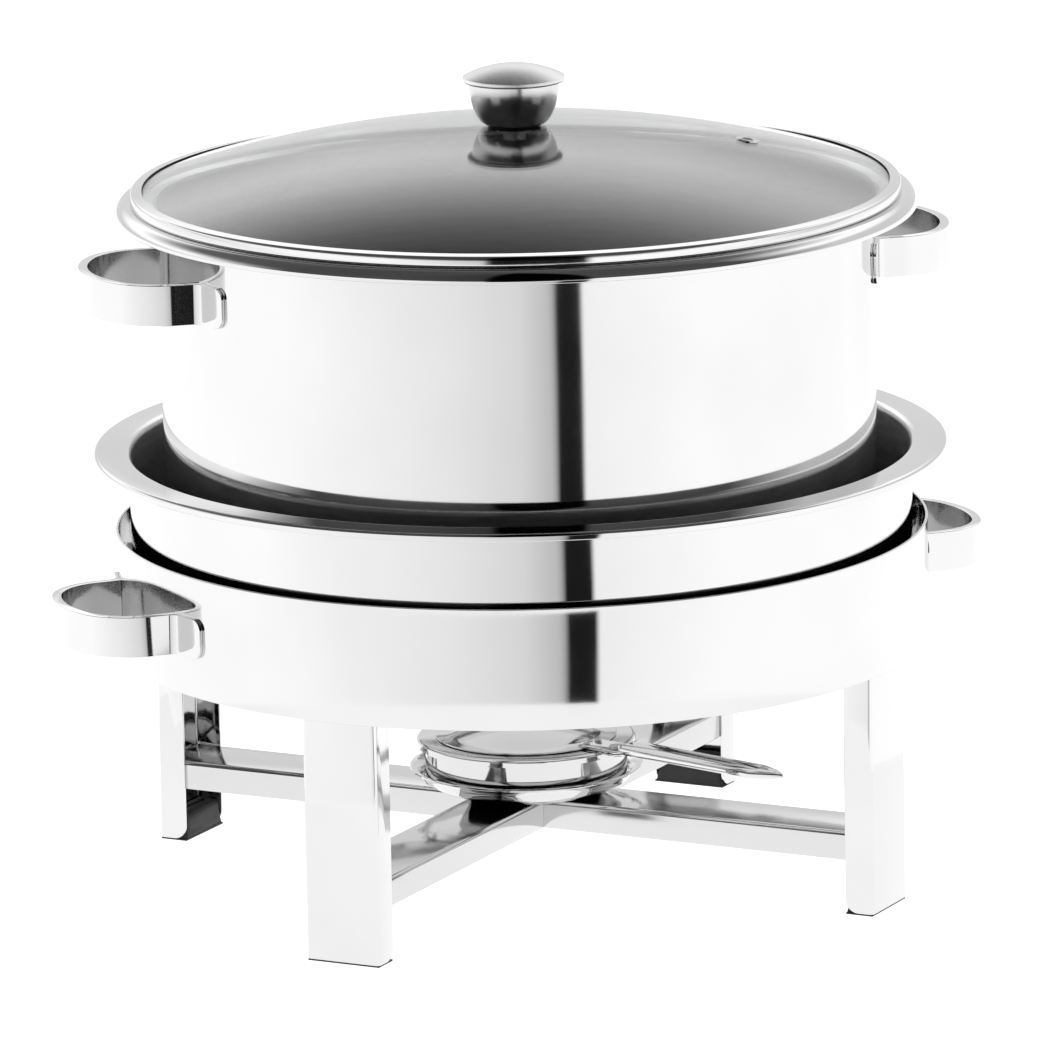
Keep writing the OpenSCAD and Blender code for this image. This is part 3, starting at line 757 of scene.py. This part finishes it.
# The cover's line is lathed from the dome's underside, out round its edge and back over the top.
def coverPiece():
    line = coverLine(coverShape, coverZ)
    peak = [i for i, point in enumerate(line) if point[0] == 0]
    outer = line[:peak[0] + 1]
    inner = line[peak[1]:]
    return lathe("coverDome", inner + outer, burnerSteps)


dress(coverPiece(), "cover_body", burnerSteel, "polished_steel", "burner_cover")


# A flat lug that reaches from a ring out to the pivot.
def earPiece(name, c, fromR, low, thickness):
    line = arc((c["pivotR"], 0), c["earR"], -90, 90, 16)
    line = [(fromR, -c["earR"])] + line + [(fromR, c["earR"])]
    piece = slab(name, [(x, y, low) for x, y in line], (0, 0, thickness))
    return smooth(turned(bevelEdges(piece, c["earEdge"], 2), c["turn"]))


sheet = burnerShape["sheet"]
flangeEar = earPiece("flangeEar", coverShape, burnerShape["earFrom"], flangeTop - sheet, sheet)
dress(flangeEar, "burner_body", burnerSteel, "polished_steel")
coverEar = earPiece("coverEar", coverShape, coverShape["earFrom"], coverZ, sheet)
dress(coverEar, "cover_body", burnerSteel, "polished_steel")

handleTrim = {"start": coverShape["earFrom"], "neck": 0.0615, "tip": 0.150, "tipLength": 0.014,
              "blunt": 0.004, "width": 0.014, "depth": 0.004, "lift": 0.003, "sheet": 0.001,
              "groove": 0.0012, "edge": 0.0002, "steps": 4}
handleZ = heights("cover_handle")[0]


# Half of the channel's middle line, from the groove along its middle to the edge turned down.
def channelHalf(h):
    w = h["width"] / 2 - h["sheet"] / 2
    top = -h["sheet"] / 2
    return [(0, top - h["groove"]), (w * 0.12, top - h["groove"]), (w * 0.34, top), (w * 0.72, top),
            (w * 0.93, top - 0.0004), (w, top - 0.0012), (w, top - h["depth"] + h["sheet"] / 2)]


# A pressed channel that narrows and flattens to a blunt tip.
def coverHandle(name, h):
    half = channelHalf(h)
    section = [(-y, z) for y, z in reversed(half)] + half[1:]
    top = handleZ + h["lift"] + h["sheet"]
    drawLine(name, [(h["neck"], y, top + z) for y, z in section])
    bpy.ops.mesh.select_all(action="SELECT")
    straight = h["tip"] - h["tipLength"]
    middle = (0, 0, top - h["depth"] * 0.6)
    for step in range(h["steps"]):
        pull(((straight - h["neck"]) / h["steps"], 0, 0))
    for length, narrow, flat in ((h["tipLength"] - h["blunt"], 0.36, 0.8), (h["blunt"] * 0.95, 0.12, 0.5)):
        pull((length, 0, 0))
        bpy.ops.transform.resize(value=(1, narrow, flat), center_override=middle)
    return turned(finishSheet(facesOut(), h["sheet"], h["edge"]), coverShape["turn"])


# The handle's flat root: over the lug, then up to the channel.
def handleRoot(name, h):
    t = h["sheet"]
    low, high = handleZ, handleZ + h["lift"] + t
    line = [(h["start"], low), (h["neck"], low), (h["neck"], high), (h["neck"] - t, high),
            (h["neck"] - t, low + t), (h["start"], low + t)]
    piece = slab(name, [(x, -h["width"] / 2, z) for x, z in line], (0, h["width"], 0))
    return smooth(turned(bevelEdges(piece, h["edge"], 2), coverShape["turn"]))


channel = coverHandle("coverHandleChannel", handleTrim)
dress(channel, "cover_body", stripSteel, "polished_steel", "cover_handle")
dress(handleRoot("coverHandleRoot", handleTrim), "cover_body", stripSteel, "polished_steel")

pinShape = {"headR": 0.004, "headH": 0.0012, "pinR": 0.0025, "rivetR": 0.0016, "rivetH": 0.0008,
            "rivetIn": 0.0015, "rivetSide": 0.004, "upright": 0.3}


# A low domed head, from its foot at low to its top. The lowest part of its side is upright.
def headLine(r, low, height, upright):
    dome = [(math.cos(math.radians(a)), math.sin(math.radians(a))) for a in (20, 40, 60, 75)]
    line = [(1, 0), (1, upright)] + [(x, upright + (1 - upright) * z) for x, z in dome] + [(0, 1)]
    return [(r * x, low + height * z) for x, z in line]


# The pin has the same head above and below.
def pivotPin(p):
    low, high = heights("cover_pivot")
    head = headLine(p["headR"], high - p["headH"], p["headH"], p["upright"])
    foot = [(r, low + high - z) for r, z in reversed(head)]
    shank = [(p["pinR"], low + p["headH"]), (p["pinR"], high - p["headH"])]
    piece = lathe("coverPivotPin", foot + shank + head, 48)
    return turned(moved(piece, (coverShape["pivotR"], 0, 0)), coverShape["turn"])


def rivetHeads(p):
    low = heights("cover_rivets")[0]
    line = [(0, low)] + headLine(p["rivetR"], low, p["rivetH"], p["upright"])
    near = moved(lathe("coverRivetHeads", line, 32), (coverShape["r"] - p["rivetIn"], p["rivetSide"], 0))
    far = moved(copied(near, "rivetFar"), (0, -2 * p["rivetSide"], 0))
    pick(near)
    far.select_set(True)
    bpy.ops.object.join()
    return turned(near, coverShape["turn"])


dress(pivotPin(pinShape), "burner_body", fastenerSteel, "satin_steel", "cover_pivot")
dress(rivetHeads(pinShape), "cover_body", fastenerSteel, "satin_steel", "cover_rivets")


print("lid")
lidShape = {"r": 0.1724, "glass": 0.0032, "edgeR": 0.1686, "rise": 0.0306, "holeR": 0.0035, "band": 0.005,
            "bandSheet": 0.0005, "seal": 0.0002, "lipR": 0.167, "bandRound": 0.0012, "bandIn": 0.0003,
            "foot": 0.008, "lipTurn": 84, "lipThin": 0.0002, "lipLow": 0.0003, "lipHigh": 0.0005}
rimZ = heights("lid_band")[0]
lidShape["glassZ"] = rimZ + lidShape["bandSheet"] + lidShape["seal"]
domeR = ((lidShape["edgeR"] ** 2 + lidShape["rise"] ** 2 - lidShape["glass"] ** 2)
         / (2 * (lidShape["rise"] - lidShape["glass"])))
domeZ = lidShape["glassZ"] + lidShape["rise"] - domeR


# The glass between two spheres about the same middle, from the knob's hole to its edge.
def domeLine(s, steps=40):
    across = [s["holeR"] + (s["edgeR"] - s["holeR"]) * i / steps for i in range(steps + 1)]
    top = [(r, domeZ + math.sqrt(domeR ** 2 - r ** 2)) for r in across]
    under = [(r, domeZ + math.sqrt((domeR - s["glass"]) ** 2 - r ** 2)) for r in reversed(across)]
    return top + under


dress(lathe("glassDome", domeLine(lidShape), close=True), "lid_body", lidGlass, "clear_glass", "lid_glass")


# A thin band folded over the glass's edge: a foot under it, a leaning side and a lip on top.
def bandLine(s):
    r, high, t, turn = s["r"], s["band"], s["bandSheet"], s["bandRound"]
    lip, foot, over = s["lipR"], r - s["foot"], s["lipTurn"]
    lean = math.degrees(math.atan(s["bandIn"] / (high - 2 * turn)))
    lowAt = (r - turn, rimZ + turn)
    highAt = (r - turn - s["bandIn"], rimZ + high - turn)
    lipLine = [(lip + s["lipThin"], s["lipHigh"]), (lip, s["lipLow"]), (lip + s["lipThin"], 0)]
    return ([(foot, rimZ)] + arc(lowAt, turn, -90, lean, 10) + arc(highAt, turn, lean, over, 10)
            + [(x, rimZ + high + z) for x, z in lipLine]
            + arc(highAt, turn - t, over, lean, 10) + arc(lowAt, turn - t, lean, -90, 10)
            + [(foot, rimZ + t)])


dress(lathe("lidBand", bandLine(lidShape), close=True), "lid_body", stripSteel, "polished_steel", "lid_band")

ventShape = {"away": 0.104, "turn": -15, "hole": 0.0032, "tube": 0.0005, "flangeR": 0.0052, "plate": 0.0006,
             "edge": 0.00025, "play": 0.00003}


# An eyelet: a tube through the glass, with a rounded flange outside and inside.
def eyeletLine(v, glass):
    inner, outer, e = v["hole"] - v["tube"], v["flangeR"], v["edge"]
    deep = glass + v["play"]
    top, foot = v["plate"], -deep - v["plate"]
    below = [(inner, foot)] + arc((outer - e, foot + e), e, -90, 0, 4) + [(outer, -deep)]
    above = ([(outer, 0)] + arc((outer - e, top - e), e, 0, 90, 4) + [(inner + e, top)]
             + arc((inner + e, top - e), e, 90, 180, 4))
    return below + [(v["hole"], -deep), (v["hole"], 0)] + above


def ventEyelet():
    piece = lathe("ventEyeletRing", eyeletLine(ventShape, lidShape["glass"]), 64, close=True)
    tilt = math.asin(ventShape["away"] / domeR)
    piece.rotation_euler.y = tilt
    moved(piece, (domeR * math.sin(tilt), 0, domeZ + domeR * math.cos(tilt)))
    return turned(piece, ventShape["turn"])


dress(ventEyelet(), "lid_body", knobSteel, "polished_steel", "vent_eyelet")

knobShape = {"foot": 0.0135, "top": 0.0202, "height": 0.019, "wall": 0.001, "bore": 0.0027, "flare": 0.68,
             "rings": 30, "capR": 0.0229, "capRise": 0.0056, "capEdge": 0.0022, "capRound": 0.0009,
             "capBreak": 0.0006, "capIn": 0.0001, "gasketR": 0.012, "gasketHole": 0.0035,
             "gasketEdge": 0.0002, "gasketLift": 0.0001}
knobZ = heights("knob_cup")[0]
capZ = heights("knob_cap")[0]


# The cup's radius at a part of its height: it flares fast at its foot and then slowly.
def cupSide(k, f):
    return k["foot"] + (k["top"] - k["foot"]) * math.sin(math.radians(90 * f ** k["flare"]))


def knobCupLine(k):
    parts = [i / k["rings"] for i in range(k["rings"] + 1)]
    side = [(cupSide(k, f), knobZ + k["height"] * f) for f in parts]
    inside = [(cupSide(k, f) - k["wall"], knobZ + k["height"] * f) for f in reversed(parts[3:])]
    floor = knobZ + k["wall"]
    return [(k["bore"], knobZ)] + side + inside + [(k["foot"], floor), (k["bore"], floor)]


def knobCapLine(k):
    r, e, high = k["capR"], k["capRound"], k["capEdge"]
    domed = (r ** 2 + k["capRise"] ** 2) / (2 * k["capRise"])
    edge = math.degrees(math.asin(r / domed))
    dome = arc((0, capZ + high + k["capRise"] - domed), domed, 90 - edge + 1, 90, 20)
    return ([(0, capZ), (r * 0.6, capZ)] + arc((r - e, capZ + e), e, -90, 0, 5)
            + [(r, capZ + high - k["capBreak"]), (r - k["capIn"], capZ + high)] + dome[:-1]
            + [(0, capZ + high + k["capRise"])])


def gasketLine(k):
    top, foot = knobZ, heights("knob_gasket")[0] + k["gasketLift"]
    r, hole, edge = k["gasketR"], k["gasketHole"], k["gasketEdge"]
    return [(hole, foot), (r - edge, foot), (r, foot + edge), (r, top - edge), (r - edge, top), (hole, top)]


knobCup = lathe("knobCupShell", knobCupLine(knobShape), 128, close=True)
dress(knobCup, "lid_body", knobSteel, "polished_steel", "knob_cup")
gasket = lathe("knobGasketRing", gasketLine(knobShape), 96, close=True)
dress(gasket, "lid_body", blackSilicone, "black_silicone", "knob_gasket")
knobCap = lathe("knobCapDisc", knobCapLine(knobShape), 128)
dress(knobCap, "lid_body", capBrushedLitSteel, "polished_steel", "knob_cap")


print("stage")
studio = {"white": 1.37, "sky": 1.65, "skyLean": -0.25, "floorSide": 14, "floorShare": 0.88, "floorGrey": 0.2,
          "floorRough": 0.9, "ringNear": 0.42, "ringFar": 3.4, "ringLift": 0.0006, "focus": 0.09,
          "gapFrom": -9, "gapTo": 21}

# What a card round the part shows, by direction from the camera's own (degrees, part of full white).
cardTones = ((-180, 0.75), (-140, 1.0), (-80, 1.0), (-20, 0.8), (0, 0.7), (11, 0.5), (12, 0.01), (20, 0.01),
             (21, 0.9), (60, 1.0), (130, 1.0), (180, 0.75))
# What the sky shows by height, from the floor's edge (0) to straight up (1): behind the part, and on the
# camera's side. The last list says where each holds, by the direction from the camera's own.
backTones = ((0.0, 0.5), (0.15, 0.5), (0.3, 0.85), (0.4, 0.85), (0.5, 0.6), (0.6, 0.3), (0.7, 0.1), (1.0, 0.05))
frontTones = ((0.0, 0.83), (0.05, 0.83), (0.08, 0.06), (0.6, 0.05), (1.0, 0.05))
sideTones = ((-105, 0), (-70, 1), (70, 1), (105, 0))
gapFrom, gapTo = studio["gapFrom"], studio["gapTo"]
gapTones = ((gapFrom - 30, 1), (gapFrom - 1, 0.6), (gapFrom + 1, 0.01), (gapTo - 1, 0.01), (gapTo + 1, 1))


def setRamp(ramp, tones):
    stops = ramp.color_ramp.elements
    while len(stops) < len(tones):
        stops.new(1.0)
    for stop, (position, tone) in zip(stops, tones):
        stop.position = position
        stop.color = (tone, tone, tone, 1)


# A tone that follows the direction round the part, in degrees from the camera's own direction.
def directionTone(nodes, links, vector, tones):
    turn = nodes.new("ShaderNodeMapping")
    turn.inputs["Rotation"].default_value[2] = math.radians(-view["azimuth"])
    around = nodes.new("ShaderNodeTexGradient")
    around.gradient_type = "RADIAL"
    ramp = nodes.new("ShaderNodeValToRGB")
    setRamp(ramp, [(0.5 + degrees / 360, tone) for degrees, tone in tones])
    links.new(vector, turn.inputs["Vector"])
    links.new(turn.outputs["Vector"], around.inputs["Vector"])
    links.new(around.outputs["Fac"], ramp.inputs["Fac"])
    return ramp.outputs["Color"]


def addFloor():
    clearSelection()
    bpy.ops.mesh.primitive_plane_add(size=studio["floorSide"], location=(0, 0, 0))
    floor = nameIt("studioFloor")
    material, nodes, links, shader = newMaterial("paleFloor")
    shader.inputs["Base Color"].default_value = (studio["floorGrey"],) * 3 + (1,)
    shader.inputs["Roughness"].default_value = studio["floorRough"]
    shader.inputs["Specular IOR Level"].default_value = 0
    shader.inputs["Emission Color"].default_value = (1, 1, 1, 1)
    shader.inputs["Emission Strength"].default_value = studio["white"] * studio["floorShare"]
    floor.data.materials.append(material)


# A ring of card just over the floor, which only the polished sheet sees.
def addCardRing():
    focus = math.radians(view["azimuth"])
    center = (studio["focus"] * math.cos(focus), studio["focus"] * math.sin(focus), studio["ringLift"])
    drawLine("cardRing", [(studio["ringNear"], 0, 0), (studio["ringFar"], 0, 0)])
    bpy.ops.mesh.spin(steps=128, angle=2 * math.pi, center=(0, 0, 0), axis=(0, 0, 1))
    bpy.ops.mesh.select_all(action="SELECT")
    bpy.ops.mesh.remove_doubles(threshold=mergeWithin)
    bpy.ops.object.mode_set(mode="OBJECT")
    card = bpy.context.object
    card.location = center
    material, nodes, links, shader = newMaterial("cardTones")
    shader.inputs["Base Color"].default_value = (0, 0, 0, 1)
    shader.inputs["Roughness"].default_value = 1
    shader.inputs["Specular IOR Level"].default_value = 0
    place = nodes.new("ShaderNodeTexCoord")
    tone = directionTone(nodes, links, place.outputs["Object"], cardTones)
    links.new(tone, shader.inputs["Emission Color"])
    shader.inputs["Emission Strength"].default_value = studio["white"]
    card.data.materials.append(material)
    card.visible_camera = False
    card.visible_shadow = False


def addLight(name, size, power, location, aim=(0, 0, 0.15)):
    clearSelection()
    bpy.ops.object.light_add(type="AREA", location=location)
    light = bpy.context.object
    light.name = name
    light.data.shape = "RECTANGLE"
    light.data.size, light.data.size_y = size
    light.data.energy = power
    light.visible_glossy = False
    light.rotation_euler = (Vector(location) - Vector(aim)).to_track_quat("Z", "Y").to_euler()


def mixed(nodes, links, kind, first, second, factor=None):
    mix = nodes.new("ShaderNodeMix")
    mix.data_type = "RGBA"
    mix.blend_type = kind
    mix.inputs["Factor"].default_value = 1
    if factor:
        links.new(factor, mix.inputs["Factor"])
    links.new(first, mix.inputs["A"])
    links.new(second, mix.inputs["B"])
    return mix.outputs["Result"]


# White behind the part, dark overhead and on the camera's side, with a gap in the low light there.
def setWorld():
    world = bpy.data.worlds.new("studio")
    bpy.context.scene.world = world
    world.use_nodes = True
    nodes, links = world.node_tree.nodes, world.node_tree.links
    place = nodes.new("ShaderNodeTexCoord")
    split = nodes.new("ShaderNodeSeparateXYZ")
    leanRight = nodes.new("ShaderNodeMath")
    leanRight.operation = "MULTIPLY_ADD"
    leanRight.inputs[1].default_value = studio["skyLean"]
    backRamp = nodes.new("ShaderNodeValToRGB")
    setRamp(backRamp, backTones)
    frontRamp = nodes.new("ShaderNodeValToRGB")
    setRamp(frontRamp, frontTones)
    links.new(place.outputs["Generated"], split.inputs["Vector"])
    links.new(split.outputs["X"], leanRight.inputs[0])
    links.new(split.outputs["Z"], leanRight.inputs[2])
    links.new(leanRight.outputs["Value"], backRamp.inputs["Fac"])
    links.new(split.outputs["Z"], frontRamp.inputs["Fac"])
    gap = directionTone(nodes, links, place.outputs["Generated"], gapTones)
    side = directionTone(nodes, links, place.outputs["Generated"], sideTones)
    front = mixed(nodes, links, "MULTIPLY", frontRamp.outputs["Color"], gap)
    sky = mixed(nodes, links, "MIX", backRamp.outputs["Color"], front, side)
    links.new(sky, nodes["Background"].inputs["Color"])
    nodes["Background"].inputs["Strength"].default_value = studio["sky"]


addFloor()
addCardRing()
setWorld()
addLight("softLeft", (1.6, 1.2), 12, (-3.2, -1.2, 1.0))
addLight("softRight", (1.6, 1.2), 12, (2.4, -2.4, 1.0))
bpy.context.scene.view_settings.view_transform = "Standard"
